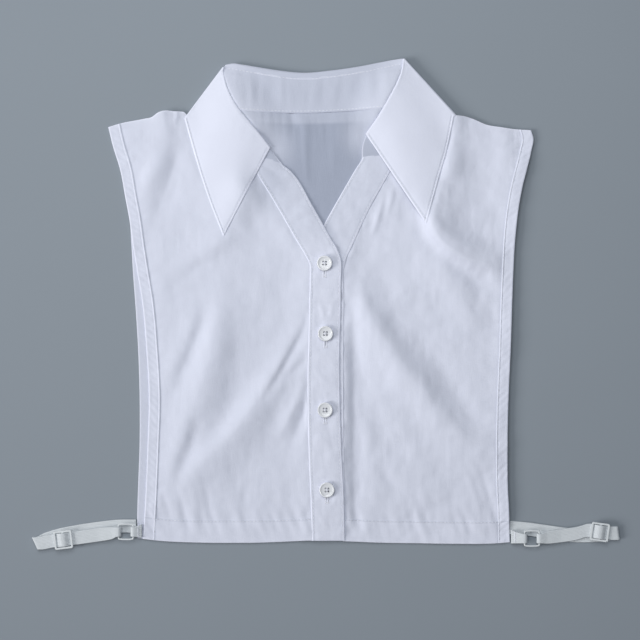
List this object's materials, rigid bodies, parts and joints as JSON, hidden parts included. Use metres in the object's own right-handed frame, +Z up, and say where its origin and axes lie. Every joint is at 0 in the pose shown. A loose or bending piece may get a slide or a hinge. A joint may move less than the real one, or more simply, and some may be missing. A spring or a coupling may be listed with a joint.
{
  "type": "false shirt collar",
  "caption": "Detachable shirt front with a pointed collar, button placket and elastic side straps, worn under a jumper, laid flat.",
  "frame": {"origin": "middle of the footprint, on the surface that the garment lies on", "axes": "+X across the garment, from the wearer's right to the wearer's left; +Y from the hem up to the collar; +Z up, out of the front"},
  "size_m": [0.4402, 0.3688, 0.009],
  "materials": {
    "cotton": "plain white cotton shirting, matt",
    "elastic": "flat white elastic, finely ribbed",
    "plastic": "white moulded plastic",
    "button": "white pearl-look plastic, glossy"
  },
  "bodies": {
    "root": {"back_panel": "cotton", "front_left": "cotton", "front_right": "cotton", "placket_left": "cotton", "placket_right": "cotton", "collar_stand": "cotton", "collar_leaf": "cotton", "button_1": "button", "button_2": "button", "button_3": "button", "button_4": "button", "strap_left": "elastic", "strap_right": "elastic", "tab_left": "elastic", "tab_right": "elastic", "ring_left": "plastic", "ring_right": "plastic", "slider_left": "plastic", "slider_right": "plastic"}
  },
  "joints": []
}
